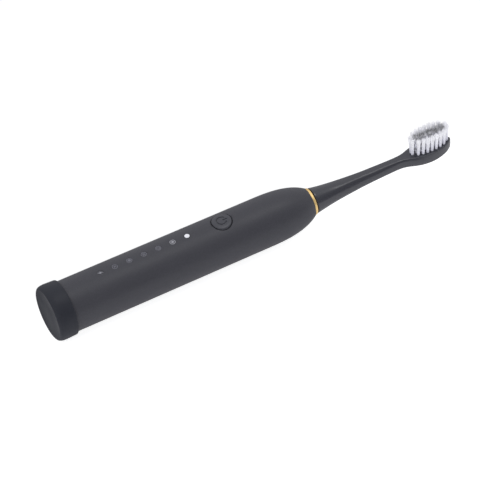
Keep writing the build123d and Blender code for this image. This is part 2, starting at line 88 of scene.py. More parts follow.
floor_paint = bpy.data.materials.new("studio_floor")
floor_paint.use_nodes = True
floor_nodes = floor_paint.node_tree
floor_shader = floor_nodes.nodes["Principled BSDF"]
floor_shader.inputs["Roughness"].default_value = FLOOR_ROUGHNESS
floor_shader.inputs["Emission Color"].default_value = (1, 1, 1, 1)
seen = add_nodes(floor_nodes, place="ShaderNodeTexCoord", split="ShaderNodeSeparateXYZ",
                 behind="ShaderNodeMapRange", tint="ShaderNodeMix", path="ShaderNodeLightPath",
                 glow="ShaderNodeMapRange")
# Painted shade: the floor's colour turns dark behind the brush
seen["behind"].interpolation_type = "SMOOTHSTEP"
seen["behind"].inputs["From Min"].default_value = FLOOR_CHANGE_START
seen["behind"].inputs["From Max"].default_value = FLOOR_CHANGE_END
seen["tint"].data_type = "RGBA"
seen["tint"].inputs["A"].default_value = NEAR_FLOOR
seen["tint"].inputs["B"].default_value = FAR_FLOOR_PAINTED_SHADE
seen["glow"].inputs["To Min"].default_value = FLOOR_SPILL
seen["glow"].inputs["To Max"].default_value = FLOOR_GLOW
floor_nodes.links.new(seen["place"].outputs["Object"], seen["split"].inputs["Vector"])
floor_nodes.links.new(seen["split"].outputs["Y"], seen["behind"].inputs["Value"])
floor_nodes.links.new(seen["behind"].outputs["Result"], seen["tint"].inputs["Factor"])
floor_nodes.links.new(seen["tint"].outputs["Result"], floor_shader.inputs["Base Color"])
floor_nodes.links.new(seen["path"].outputs["Is Camera Ray"], seen["glow"].inputs["Value"])
floor_nodes.links.new(seen["glow"].outputs["Result"], floor_shader.inputs["Emission Strength"])
floor_mesh.materials.append(floor_paint)

sky = bpy.data.worlds.new("studio_sky")
sky.use_nodes = True
sky_nodes = sky.node_tree
look = add_nodes(sky_nodes, place="ShaderNodeTexCoord", split="ShaderNodeSeparateXYZ",
                 height="ShaderNodeMapRange", facing="ShaderNodeVectorMath", dark="ShaderNodeMapRange",
                 shaded="ShaderNodeMath", path="ShaderNodeLightPath", backdrop="ShaderNodeMix")
look["facing"].operation = "DOT_PRODUCT"
look["facing"].inputs[1].default_value = DARK_SIDE
look["dark"].interpolation_type = "SMOOTHSTEP"
look["dark"].inputs["From Min"].default_value = DARK_SIDE_EDGE
look["dark"].inputs["From Max"].default_value = DARK_SIDE_CORE
look["dark"].inputs["To Min"].default_value = 1.0
look["dark"].inputs["To Max"].default_value = DARK_SIDE_LIGHT
look["shaded"].operation = "MULTIPLY"
look["height"].inputs["To Min"].default_value = HORIZON_LIGHT
look["height"].inputs["To Max"].default_value = ZENITH_LIGHT
look["backdrop"].inputs["B"].default_value = BACKDROP_LIGHT
sky_nodes.links.new(look["place"].outputs["Generated"], look["split"].inputs["Vector"])
sky_nodes.links.new(look["split"].outputs["Z"], look["height"].inputs["Value"])
sky_nodes.links.new(look["path"].outputs["Is Camera Ray"], look["backdrop"].inputs["Factor"])
sky_nodes.links.new(look["place"].outputs["Generated"], look["facing"].inputs[0])
sky_nodes.links.new(look["facing"].outputs["Value"], look["dark"].inputs["Value"])
sky_nodes.links.new(look["height"].outputs["Result"], look["shaded"].inputs[0])
sky_nodes.links.new(look["dark"].outputs["Result"], look["shaded"].inputs[1])
sky_nodes.links.new(look["shaded"].outputs["Value"], look["backdrop"].inputs["A"])
sky_nodes.links.new(look["backdrop"].outputs["Result"], sky_nodes.nodes["Background"].inputs["Strength"])
sky_nodes.nodes["Background"].inputs["Color"].default_value = SKY_COLOUR
bpy.context.scene.world = sky

lamp = bpy.data.lights.new("key_light", "AREA")
lamp.shape = "SQUARE"
lamp.size = KEY_LIGHT_SIZE
lamp.energy = KEY_LIGHT_POWER
key_light = bpy.data.objects.new("key_light", lamp)
key_light.location = KEY_LIGHT_PLACE
key_light.rotation_euler = (-key_light.location).to_track_quat("-Z", "Y").to_euler()
bpy.context.scene.collection.objects.link(key_light)

# Handle wall: one long moulding in plastic with a dark satin paint, open at the base, with a boss at
# the nose that carries the ring. Seven round light windows and the button's well are cut in it.
# All sizes are in millimetres from the middle of the foot's face, with X along the brush.
MM = 0.001
LENGTH = 237.4
AXIS_HEIGHT = 15.4
BASE_RADIUS, BODY_END_RADIUS = 14.0, 13.6
SHELL_START, TAPER_START, SHOULDER_START, NOSE_X = 2.0, 18.0, 122.0, 152.8
SHOULDER_REACH, SHOULDER_POWER, SHOULDER_ROOT = 36.7, 2.95, 1.675
WALL, NOSE_WALL = 1.65, 3.0
BOSS_RADIUS, BOSS_END, SEAL_HOLE_RADIUS = 5.4, 154.1, 3.6
BUTTON_X, BUTTON_HOLE_RADIUS = 102.0, 5.75
CHARGE_LIGHT_X, MODE_LIGHT_PITCH, MODE_LIGHTS = 31.6, 8.37, 6
WINDOW_RADIUS = 1.65
CUTTER_HEIGHT, WINDOW_CUTTER_LENGTH, BUTTON_CUTTER_LENGTH = 13.0, 8.0, 10.0
LATHE_SIDES = 160
SAME_PLACE = 1e-4
TO_FRAME = Matrix.Translation((-LENGTH / 2 * MM, 0, AXIS_HEIGHT * MM)) @ Matrix.Scale(MM, 4)


def handle_radius(x):
    """The handle's outer radius at a distance from the foot's face, in millimetres."""
    if x <= TAPER_START:
        return BASE_RADIUS
    if x <= SHOULDER_START:
        along = (x - TAPER_START) / (SHOULDER_START - TAPER_START)
        return BASE_RADIUS + (BODY_END_RADIUS - BASE_RADIUS) * along
    along = (x - SHOULDER_START) / SHOULDER_REACH
    return BODY_END_RADIUS * (1 - along ** SHOULDER_POWER) ** (1 / SHOULDER_ROOT)


def steps_between(low, high, pitch):
    """Evenly spaced values from low to high, both kept, about a pitch apart."""
    count = max(1, round((high - low) / pitch))
    return [low + (high - low) * step / count for step in range(count + 1)]


def turned_on_lathe(form, outline, closed=True):
    """Spins an outline of (x, radius) points round the X axis into a form."""
    points = [form.verts.new((x, 0, radius)) for x, radius in outline]
    edges = [form.edges.new(pair) for pair in zip(points, points[1:])]
    if closed:
        edges.append(form.edges.new((points[-1], points[0])))
    bmesh.ops.spin(form, geom=points + edges, cent=(0, 0, 0), axis=(1, 0, 0), angle=2 * math.pi,
                   steps=LATHE_SIDES, use_merge=True)
    bmesh.ops.remove_doubles(form, verts=form.verts, dist=SAME_PLACE)


def make_object(name, form, sharp_degrees=35.0):
    """Turns a form in millimetres into a smooth-shaded object in the brush's frame."""
    bmesh.ops.recalc_face_normals(form, faces=form.faces)
    bmesh.ops.transform(form, matrix=TO_FRAME, verts=form.verts)
    for face in form.faces:
        face.smooth = True
    for edge in form.edges:
        edge.smooth = len(edge.link_faces) == 2 and edge.calc_face_angle(0) < math.radians(sharp_degrees)
    mesh = bpy.data.meshes.new(name)
    form.to_mesh(mesh)
    form.free()
    made = bpy.data.objects.new(name, mesh)
    bpy.context.scene.collection.objects.link(made)
    return made


def cut_away(piece, cutter):
    """Cuts one object out of another and throws the cutter away."""
    cut = piece.modifiers.new("cut", "BOOLEAN")
    cut.operation = "DIFFERENCE"
    cut.solver = "EXACT"
    cut.object = cutter
    graph = bpy.context.evaluated_depsgraph_get()
    cut_mesh = bpy.data.meshes.new_from_object(piece.evaluated_get(graph))
    piece.modifiers.clear()
    old_mesh = piece.data
    piece.data = cut_mesh
    cut_mesh.name = piece.name
    bpy.data.meshes.remove(old_mesh)
    bpy.data.objects.remove(cutter)


def light_places():
    """Where the lights stand along the handle, the charging light first."""
    return [CHARGE_LIGHT_X + MODE_LIGHT_PITCH * step for step in range(MODE_LIGHTS + 1)]


shell_outline = [(x, handle_radius(x)) for x in steps_between(SHELL_START, SHOULDER_START, 1.6)]
shell_outline += [(x, handle_radius(x)) for x in steps_between(SHOULDER_START, NOSE_X, 0.9)[1:]]
shell_outline += [(NOSE_X, BOSS_RADIUS), (BOSS_END, BOSS_RADIUS), (BOSS_END, SEAL_HOLE_RADIUS),
                  (NOSE_X - NOSE_WALL, SEAL_HOLE_RADIUS), (NOSE_X - NOSE_WALL, 6.6),
                  (143.0, 9.9), (135.0, 11.45),
                  (SHOULDER_START, BODY_END_RADIUS - WALL), (TAPER_START, BASE_RADIUS - WALL),
                  (SHELL_START, BASE_RADIUS - WALL)]
shell_form = bmesh.new()
turned_on_lathe(shell_form, shell_outline)
handle_wall = make_object("handle_wall", shell_form)



def add_peg(form, x, height, radius, length, sides):
    """Adds an upright round peg, its middle at a height above the brush's axis."""
    bmesh.ops.create_cone(form, cap_ends=True, segments=sides, radius1=radius, radius2=radius, depth=length,
                          matrix=Matrix.Translation((x, 0, height)))


cutter_form = bmesh.new()
for light_x in light_places():
    add_peg(cutter_form, light_x, CUTTER_HEIGHT, WINDOW_RADIUS, WINDOW_CUTTER_LENGTH, 48)
add_peg(cutter_form, BUTTON_X, CUTTER_HEIGHT, BUTTON_HOLE_RADIUS, BUTTON_CUTTER_LENGTH, 96)
cut_away(handle_wall, make_object("handle_holes", cutter_form))


def new_surface_group(name, **inputs):
    """An empty node group with the inputs given, which puts out a colour, a roughness and a height."""
    group = bpy.data.node_groups.new(name, "ShaderNodeTree")
    for label, kind in inputs.items():
        group.interface.new_socket(name=label.replace("_", " "), in_out="INPUT",
                                   socket_type="NodeSocket" + kind)
    for label, kind in (("Surface Colour", "Color"), ("Roughness", "Float"), ("Height", "Float")):
        group.interface.new_socket(name=label, in_out="OUTPUT", socket_type="NodeSocket" + kind)
    return group


def make_moulded_group():
    """Grain, smudges and lighter edges of a moulded surface, worked out on Object coordinates. The lighter
    edges are partly wear and partly a painted highlight.
    """
    group = new_surface_group("moulded_surface", Colour="Color", Worn_Colour="Color", Grain_Scale="Float",
                              Smooth_Roughness="Float", Rough_Roughness="Float", Wear="Float")
    n = add_nodes(group, inputs="NodeGroupInput", outputs="NodeGroupOutput", place="ShaderNodeTexCoord",
                  grain="ShaderNodeTexNoise", smudge="ShaderNodeTexNoise", geometry="ShaderNodeNewGeometry",
                  edge="ShaderNodeMapRange", scuff="ShaderNodeMath", worn="ShaderNodeMath",
                  tone="ShaderNodeMapRange", shade="ShaderNodeMix", rub="ShaderNodeMix",
                  rough="ShaderNodeMapRange")
    link = group.links.new
    link(n["place"].outputs["Object"], n["grain"].inputs["Vector"])
    link(n["inputs"].outputs["Grain Scale"], n["grain"].inputs["Scale"])
    n["grain"].inputs["Detail"].default_value = 2.0
    link(n["place"].outputs["Object"], n["smudge"].inputs["Vector"])
    n["smudge"].inputs["Scale"].default_value = 60.0
    n["smudge"].inputs["Detail"].default_value = 4.0
    n["edge"].inputs["From Min"].default_value = 0.53
    n["edge"].inputs["From Max"].default_value = 0.62
    link(n["geometry"].outputs["Pointiness"], n["edge"].inputs["Value"])
    # Lighter pointy edges: partly edge wear, partly a painted highlight
    n["scuff"].operation = "MULTIPLY"
    link(n["edge"].outputs["Result"], n["scuff"].inputs[0])
    link(n["smudge"].outputs["Fac"], n["scuff"].inputs[1])
    n["worn"].operation = "MULTIPLY"
    link(n["scuff"].outputs["Value"], n["worn"].inputs[0])
    link(n["inputs"].outputs["Wear"], n["worn"].inputs[1])
    n["tone"].inputs["From Min"].default_value = 0.3
    n["tone"].inputs["From Max"].default_value = 0.7
    n["tone"].inputs["To Min"].default_value = 0.86
    n["tone"].inputs["To Max"].default_value = 1.12
    link(n["grain"].outputs["Fac"], n["tone"].inputs["Value"])
    n["shade"].data_type = "RGBA"
    n["shade"].blend_type = "MULTIPLY"
    n["shade"].inputs["Factor"].default_value = 1.0
    link(n["inputs"].outputs["Colour"], n["shade"].inputs["A"])
    link(n["tone"].outputs["Result"], n["shade"].inputs["B"])
    n["rub"].data_type = "RGBA"
    link(n["worn"].outputs["Value"], n["rub"].inputs["Factor"])
    link(n["shade"].outputs["Result"], n["rub"].inputs["A"])
    link(n["inputs"].outputs["Worn Colour"], n["rub"].inputs["B"])
    n["rough"].inputs["From Min"].default_value = 0.35
    n["rough"].inputs["From Max"].default_value = 0.65
    link(n["smudge"].outputs["Fac"], n["rough"].inputs["Value"])
    link(n["inputs"].outputs["Smooth Roughness"], n["rough"].inputs["To Min"])
    link(n["inputs"].outputs["Rough Roughness"], n["rough"].inputs["To Max"])
    link(n["rub"].outputs["Result"], n["outputs"].inputs["Surface Colour"])
    link(n["rough"].outputs["Result"], n["outputs"].inputs["Roughness"])
    link(n["grain"].outputs["Fac"], n["outputs"].inputs["Height"])
    return group


moulded_group = make_moulded_group()


def moulded(name, colour, worn_and_highlight_colour, grain, roughness, bump=0.1, bump_depth=0.00002, wear_and_highlight=0.3,
            **shader_values):
    """A moulded or painted surface: grain and smudges from the shared group, the rest on the shader."""
    material = bpy.data.materials.new(name)
    material.use_nodes = True
    tree = material.node_tree
    shader = tree.nodes["Principled BSDF"]
    surface = tree.nodes.new("ShaderNodeGroup")
    surface.node_tree = moulded_group
    surface.inputs["Colour"].default_value = (*colour, 1)
    surface.inputs["Worn Colour"].default_value = (*worn_and_highlight_colour, 1)
    surface.inputs["Grain Scale"].default_value = grain
    surface.inputs["Smooth Roughness"].default_value = roughness[0]
    surface.inputs["Rough Roughness"].default_value = roughness[1]
    surface.inputs["Wear"].default_value = wear_and_highlight
    relief = tree.nodes.new("ShaderNodeBump")
    relief.inputs["Strength"].default_value = bump
    relief.inputs["Distance"].default_value = bump_depth
    tree.links.new(surface.outputs["Surface Colour"], shader.inputs["Base Color"])
    tree.links.new(surface.outputs["Roughness"], shader.inputs["Roughness"])
    tree.links.new(surface.outputs["Height"], relief.inputs["Height"])
    tree.links.new(relief.outputs["Normal"], shader.inputs["Normal"])
    for socket, value in shader_values.items():
        shader.inputs[socket.replace("_", " ")].default_value = value
    return material


def finish_piece(piece, material, body, slot, *nodes):
    """Gives a piece its material and body, and hides the CAD nodes it stands for; the slot is not used."""
    piece.data.materials.clear()
    piece.data.materials.append(material)
    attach(piece, body)
    if nodes:
        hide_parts(*nodes)


satin_paint = moulded("satin_paint", (0.060, 0.060, 0.072), (0.11, 0.11, 0.12), 2600.0, (0.4, 0.48),
                      Specular_IOR_Level=0.27)
finish_piece(handle_wall, satin_paint, "handle", "shell_paint", "handle_shell")

# Rubber foot: a dark moulded cup pressed over the base. Its side is slightly barrelled, stands proud
# of the handle, and turns over a rounded edge into the flat face that the brush stands on.
FOOT_RADIUS, FOOT_LENGTH, FOOT_FLOOR, FOOT_FIT = 15.4, 10.5, 1.9, 14.02

foot_outline = [(0.16, 0.0), (0.16, 6.0), (0.16, 12.9), (0.05, 13.3), (0.0, 13.65), (0.1, 14.1),
                (0.35, 14.5), (0.8, 14.85), (1.5, 15.12), (2.5, 15.32),
                (4.0, FOOT_RADIUS), (6.0, 15.32), (8.0, 15.24),
                (9.6, 15.17), (10.1, 15.05), (10.4, 14.8), (FOOT_LENGTH, 14.45), (FOOT_LENGTH, FOOT_FIT),
                (FOOT_FLOOR, FOOT_FIT), (FOOT_FLOOR, 0.0)]
foot_form = bmesh.new()
turned_on_lathe(foot_form, foot_outline, closed=False)
rubber_foot = make_object("rubber_foot", foot_form)
foot_rubber = moulded("foot_rubber", (0.030, 0.032, 0.042), (0.06, 0.06, 0.07), 3400.0, (0.42, 0.55),
                      bump=0.2, Specular_IOR_Level=0.18)
finish_piece(rubber_foot, foot_rubber, "handle", "foot_rubber", "end_cap")

# Nose ring: a thin turned aluminium ring, anodised to a warm gold and polished, pressed on the boss
# at the nose.
RING_START, RING_END, RING_RADIUS, RING_BORE = 152.85, 154.35, 7.5, 5.42
LINE_DEPTH = 0.00001

ring_outline = [(RING_START, RING_BORE), (RING_START, RING_RADIUS - 0.18),
                (RING_START + 0.06, RING_RADIUS - 0.05), (RING_START + 0.2, RING_RADIUS),
                (RING_END - 0.45, RING_RADIUS - 0.06), (RING_END - 0.2, RING_RADIUS - 0.15),
                (RING_END - 0.05, RING_RADIUS - 0.32), (RING_END, RING_RADIUS - 0.5), (RING_END, RING_BORE)]
ring_form = bmesh.new()
turned_on_lathe(ring_form, ring_outline)
gold_ring = make_object("gold_ring", ring_form)


def make_brushed_group():
    """Fine turning or rolling lines on metal, with slow changes of tone and gloss."""
    group = new_surface_group("brushed_metal", Colour="Color", Stretch="Vector",
                              Smooth_Roughness="Float", Rough_Roughness="Float")
    n = add_nodes(group, inputs="NodeGroupInput", outputs="NodeGroupOutput", place="ShaderNodeTexCoord",
                  stretch="ShaderNodeVectorMath", lines="ShaderNodeTexNoise", tone="ShaderNodeMapRange",
                  shade="ShaderNodeMix", rough="ShaderNodeMapRange")
    link = group.links.new
    n["stretch"].operation = "MULTIPLY"
    link(n["place"].outputs["Object"], n["stretch"].inputs[0])
    link(n["inputs"].outputs["Stretch"], n["stretch"].inputs[1])
    link(n["stretch"].outputs["Vector"], n["lines"].inputs["Vector"])
    n["lines"].inputs["Scale"].default_value = 1.0
    n["lines"].inputs["Detail"].default_value = 3.0
    n["tone"].inputs["To Min"].default_value = 0.8
    n["tone"].inputs["To Max"].default_value = 1.15
    link(n["lines"].outputs["Fac"], n["tone"].inputs["Value"])
    n["shade"].data_type = "RGBA"
    n["shade"].blend_type = "MULTIPLY"
    n["shade"].inputs["Factor"].default_value = 1.0
    link(n["inputs"].outputs["Colour"], n["shade"].inputs["A"])
    link(n["tone"].outputs["Result"], n["shade"].inputs["B"])
    n["rough"].inputs["From Min"].default_value = 0.3
    n["rough"].inputs["From Max"].default_value = 0.7
    link(n["lines"].outputs["Fac"], n["rough"].inputs["Value"])
    link(n["inputs"].outputs["Smooth Roughness"], n["rough"].inputs["To Min"])
    link(n["inputs"].outputs["Rough Roughness"], n["rough"].inputs["To Max"])
    link(n["shade"].outputs["Result"], n["outputs"].inputs["Surface Colour"])
    link(n["rough"].outputs["Result"], n["outputs"].inputs["Roughness"])
    link(n["lines"].outputs["Fac"], n["outputs"].inputs["Height"])
    return group


brushed_group = make_brushed_group()


def brushed(name, colour, stretch, roughness, bump=0.15):
    """A metal surface with lines from the shared group; stretch is how finely they lie on each axis."""
    material = bpy.data.materials.new(name)
    material.use_nodes = True
    tree = material.node_tree
    shader = tree.nodes["Principled BSDF"]
    shader.inputs["Metallic"].default_value = 1.0
    surface = tree.nodes.new("ShaderNodeGroup")
    surface.node_tree = brushed_group
    surface.inputs["Colour"].default_value = (*colour, 1)
    surface.inputs["Stretch"].default_value = stretch
    surface.inputs["Smooth Roughness"].default_value = roughness[0]
    surface.inputs["Rough Roughness"].default_value = roughness[1]
    relief = tree.nodes.new("ShaderNodeBump")
    relief.inputs["Strength"].default_value = bump
    relief.inputs["Distance"].default_value = LINE_DEPTH
    tree.links.new(surface.outputs["Surface Colour"], shader.inputs["Base Color"])
    tree.links.new(surface.outputs["Roughness"], shader.inputs["Roughness"])
    tree.links.new(surface.outputs["Height"], relief.inputs["Height"])
    tree.links.new(relief.outputs["Normal"], shader.inputs["Normal"])
    return material


gold = brushed("anodised_gold", (0.98, 0.72, 0.33), (3000.0, 120.0, 120.0), (0.48, 0.6))
finish_piece(gold_ring, gold, "handle", "gold_metal", "neck_ring")

# Light windows: small plugs of smoked plastic, set flush in the handle over the lamps, each with a
# thin translucent print on it. The first carries a bolt for charging, and each of the other six
# marks a brushing mode: four are unlit, one is faintly lit, and one is lit.
WINDOW_LENS_RADIUS, WINDOW_DEPTH, WINDOW_FACE = 1.63, 1.3, -0.05
PRINT_HEIGHT, PRINT_THICKNESS, PRINT_LINE = -0.055, 0.03, 0.34
BOLT_CORNERS = [(1.95, -0.78), (-0.14, 0.92), (-0.2, 0.12), (-1.95, 0.78), (0.14, -0.92), (0.2, -0.12)]
MARK_RADIUS, INNER_RING_RADIUS, UNLIT_DOT_RADIUS = 1.58, 0.9, 0.85
WAKING_DOT_RADIUS, LIT_DISC_RADIUS = 0.7, 1.36
CROSS_REACH, CROSS_GAP, BAR_REACH = 0.62, 0.16, 0.72


def turned_upright(form, outline, sides):
    """Spins an outline of (radius, height) points round the Z axis."""
    points = [form.verts.new((radius, 0, height)) for radius, height in outline]
    edges = [form.edges.new(pair) for pair in zip(points, points[1:])]
    bmesh.ops.spin(form, geom=points + edges, cent=(0, 0, 0), axis=(0, 0, 1), angle=2 * math.pi,
                   steps=sides, use_merge=True)
    bmesh.ops.remove_doubles(form, verts=form.verts, dist=SAME_PLACE)


def drape(form, x, flatter=0.0):
    """Lays a form drawn flat round the origin onto the top of the handle at x, keeping its heights.
    flatter lets it follow less of the handle's roundness: 0 all of it, 1 none."""
    for point in form.verts:
        radius = handle_radius(x + point.co.x)
        drop = radius - math.sqrt(radius ** 2 - point.co.y ** 2)
        point.co.z += radius - drop * (1 - flatter)
        point.co.x += x


def lens_form(x):
    """One plug with a softly rounded rim, laid in its place."""
    form = bmesh.new()
    outline = [(radius, WINDOW_FACE) for radius in (0, 0.4, 0.8, 1.2)]
    outline += [(1.5, -0.06), (1.6, -0.1), (WINDOW_LENS_RADIUS, -0.18),
                (WINDOW_LENS_RADIUS, -WINDOW_DEPTH), (0, -WINDOW_DEPTH)]
    turned_upright(form, outline, 48)
    drape(form, x)
    return form


def joined(forms):
    """All the forms in one, freeing each."""
    whole = bmesh.new()
    for form in forms:
        mesh = bpy.data.meshes.new("part")
        form.to_mesh(mesh)
        form.free()
        whole.from_mesh(mesh)
        bpy.data.meshes.remove(mesh)
    return whole


mode_places = light_places()[1:]
mode_lenses = make_object("mode_lenses", joined([lens_form(x) for x in mode_places]))
charge_lens = make_object("charge_lens", lens_form(light_places()[0]))
smoked_plastic = moulded("smoked_plastic", (0.060, 0.060, 0.072), (0.11, 0.11, 0.12), 3200.0,
                         (0.35, 0.42), wear_and_highlight=0.0, Specular_IOR_Level=0.27)
finish_piece(mode_lenses, smoked_plastic, "handle", "window_clear", "mode_windows")
finish_piece(charge_lens, smoked_plastic, "handle", "window_clear", "charge_window")


def flat_shape(form, corners, height, thickness):
    """A thin flat plate from its corners in order, standing at a height."""
    face = form.faces.new([form.verts.new((x, y, height)) for x, y in corners])
    raised = bmesh.ops.extrude_face_region(form, geom=[face])
    bmesh.ops.translate(form, vec=(0, 0, thickness),
                        verts=[part for part in raised["geom"] if isinstance(part, bmesh.types.BMVert)])


def flat_disc(form, radius, height, thickness):
    """A thin round plate, in rings so that it can follow the handle."""
    reaches = [radius * step / 4 for step in range(5)]
    turned_upright(form, [(reach, height) for reach in reaches]
                   + [(reach, height + thickness) for reach in reversed(reaches)], 32)


def flat_ring(form, outer, inner, height, thickness):
    """A thin ring plate."""
    points = [form.verts.new((radius, 0, level)) for radius, level in
              ((inner, height), (outer, height), (outer, height + thickness), (inner, height + thickness))]
    edges = [form.edges.new((points[i], points[(i + 1) % 4])) for i in range(4)]
    bmesh.ops.spin(form, geom=points + edges, cent=(0, 0, 0), axis=(0, 0, 1), angle=2 * math.pi,
                   steps=40, use_merge=True)


def flat_bar(form, start, end):
    """A printed line between two points."""
    along = (Vector(end) - Vector(start)).normalized() * PRINT_LINE / 2
    side = Vector((-along.y, along.x))
    corners = [Vector(start) - side, Vector(end) - side, Vector(end) + side, Vector(start) + side]
    flat_shape(form, corners, PRINT_HEIGHT, PRINT_THICKNESS)


def mode_mark(number):
    """The printed mark of one mode, laid on its window: a ring with a sign in it, or the lit disc."""
    form = bmesh.new()
    if number < MODE_LIGHTS - 1:
        flat_ring(form, MARK_RADIUS, MARK_RADIUS - PRINT_LINE, PRINT_HEIGHT, PRINT_THICKNESS)
    if number == 0:
        flat_bar(form, (-CROSS_REACH, -CROSS_REACH), (CROSS_REACH, CROSS_REACH))
        flat_bar(form, (-CROSS_REACH, CROSS_REACH), (-CROSS_GAP, CROSS_GAP))
        flat_bar(form, (CROSS_GAP, -CROSS_GAP), (CROSS_REACH, -CROSS_REACH))
    if number == 1:
        flat_disc(form, UNLIT_DOT_RADIUS, PRINT_HEIGHT, PRINT_THICKNESS)
    if number == 2:
        for y in (-CROSS_REACH, 0, CROSS_REACH):
            flat_bar(form, (-BAR_REACH, y), (BAR_REACH, y))
    if number == 3:
        flat_ring(form, INNER_RING_RADIUS, INNER_RING_RADIUS - PRINT_LINE, PRINT_HEIGHT, PRINT_THICKNESS)
    if number == 4:
        flat_disc(form, WAKING_DOT_RADIUS, PRINT_HEIGHT, PRINT_THICKNESS)
    if number == 5:
        flat_disc(form, LIT_DISC_RADIUS, PRINT_HEIGHT, PRINT_THICKNESS)
    drape(form, mode_places[number])
    return form


bolt_form = bmesh.new()
flat_shape(bolt_form, BOLT_CORNERS, PRINT_HEIGHT, PRINT_THICKNESS)
drape(bolt_form, light_places()[0])
charge_mark = make_object("charge_mark", bolt_form)
unlit_marks = make_object("unlit_mode_marks", joined([mode_mark(number) for number in range(4)]))
waking_mark = make_object("waking_mode_mark", mode_mark(4))
lit_mark = make_object("lit_mode_mark", mode_mark(5))


def printed(name, colour, glow):
    """A translucent print over a lamp, with the lamp's glow if it is on."""
    return moulded(name, colour, colour, 5200.0, (0.3, 0.4), wear_and_highlight=0.0,
                   Emission_Color=(0.93, 0.94, 1.0, 1), Emission_Strength=glow)


finish_piece(charge_mark, printed("charge_print", (0.3, 0.3, 0.34), 0.0), "handle", "window_clear")
finish_piece(unlit_marks, printed("unlit_print", (0.15, 0.15, 0.185), 0.0), "handle", "window_clear")
finish_piece(waking_mark, printed("waking_print", (0.32, 0.32, 0.36), 0.05), "handle", "window_clear")
finish_piece(lit_mark, printed("lit_print", (0.7, 0.7, 0.75), 0.22), "handle", "window_clear")

# Power button: a round soft-touch cap that stands a little proud in its well, with the usual broken
# ring and bar pressed into it. A dark rubber web closes the gap round it.
BUTTON_RADIUS, BUTTON_TOP, BUTTON_FLATTER, BUTTON_SKIRT = 5.35, 0.45, 0.2, -2.4
BUTTON_CAVITY_RADIUS, BUTTON_UNDERSIDE = 4.2, -1.3
STEM_RADIUS, STEM_LENGTH, STEM_HEIGHT = 1.5, 3.9, 10.6
SYMBOL_OUTER, SYMBOL_INNER, SYMBOL_DEPTH, SYMBOL_CUTTER_TOP = 2.85, 2.3, 0.4, 1.05
SYMBOL_BAR_START, SYMBOL_BAR_END, SYMBOL_BAR_WIDTH, BAR_CUTTER_DEPTH = 0.6, 3.3, 0.55, 0.8
SYMBOL_GAP = math.radians(64)
WEB_INNER, WEB_OUTER = BUTTON_RADIUS + 0.02, BUTTON_HOLE_RADIUS - 0.01
WEB_RIM, WEB_TOP, WEB_BOTTOM = -1.3, -1.2, -1.9

button_outline = [(radius, BUTTON_TOP) for radius in steps_between(0, 4.0, 0.4)]
button_outline += [(4.4, BUTTON_TOP - 0.01), (4.7, BUTTON_TOP - 0.04), (4.95, BUTTON_TOP - 0.09),
                   (5.15, BUTTON_TOP - 0.18), (5.28, BUTTON_TOP - 0.31),
                   (BUTTON_RADIUS, BUTTON_TOP - 0.5), (BUTTON_RADIUS, BUTTON_SKIRT),
                   (BUTTON_CAVITY_RADIUS, BUTTON_SKIRT), (BUTTON_CAVITY_RADIUS, BUTTON_UNDERSIDE),
                   (0, BUTTON_UNDERSIDE)]
button_form = bmesh.new()
turned_upright(button_form, button_outline, 128)
drape(button_form, BUTTON_X, BUTTON_FLATTER)
stem_form = bmesh.new()
add_peg(stem_form, BUTTON_X, STEM_HEIGHT, STEM_RADIUS, STEM_LENGTH, 32)
button_cap = make_object("button_cap", joined([button_form, stem_form]))

symbol_form = bmesh.new()
profile = [symbol_form.verts.new((radius, 0, level)) for radius, level in
           ((SYMBOL_INNER, BUTTON_TOP - SYMBOL_DEPTH), (SYMBOL_OUTER, BUTTON_TOP - SYMBOL_DEPTH),
            (SYMBOL_OUTER, SYMBOL_CUTTER_TOP), (SYMBOL_INNER, SYMBOL_CUTTER_TOP))]
profile_face = symbol_form.faces.new(profile)
bmesh.ops.rotate(symbol_form, cent=(0, 0, 0), matrix=Matrix.Rotation(SYMBOL_GAP / 2, 3, "Z"),
                 verts=symbol_form.verts)
bmesh.ops.spin(symbol_form, geom=[profile_face], cent=(0, 0, 0), axis=(0, 0, 1),
               angle=2 * math.pi - SYMBOL_GAP, steps=48)
drape(symbol_form, BUTTON_X, BUTTON_FLATTER)
cut_away(button_cap, make_object("symbol_ring_cutter", symbol_form))
bar_form = bmesh.new()
bar_half = SYMBOL_BAR_WIDTH / 2
bar_corners = [(SYMBOL_BAR_START, -bar_half), (SYMBOL_BAR_END, -bar_half),
               (SYMBOL_BAR_END, bar_half), (SYMBOL_BAR_START, bar_half)]
flat_shape(bar_form, bar_corners, BUTTON_TOP - SYMBOL_DEPTH, BAR_CUTTER_DEPTH)
drape(bar_form, BUTTON_X, BUTTON_FLATTER)
cut_away(button_cap, make_object("symbol_bar_cutter", bar_form))
button_paint = moulded("button_soft_touch", (0.062, 0.063, 0.077), (0.12, 0.12, 0.13), 3000.0,
                       (0.3, 0.38), Specular_IOR_Level=0.35)
finish_piece(button_cap, button_paint, "button", "button_soft", "power_button")

web_outline = [(WEB_INNER, WEB_RIM), (WEB_INNER + 0.1, WEB_TOP), (WEB_INNER + 0.26, WEB_TOP),
               (WEB_OUTER, WEB_RIM), (WEB_OUTER, WEB_BOTTOM), (WEB_INNER, WEB_BOTTOM), (WEB_INNER, WEB_RIM)]
web_form = bmesh.new()
turned_upright(web_form, web_outline, 96)
drape(web_form, BUTTON_X)
button_web = make_object("button_web", web_form)
seal_rubber = moulded("seal_rubber", (0.008, 0.008, 0.009), (0.02, 0.02, 0.02), 3800.0, (0.55, 0.7))
finish_piece(button_web, seal_rubber, "handle", "seal_rubber", "button_seal")

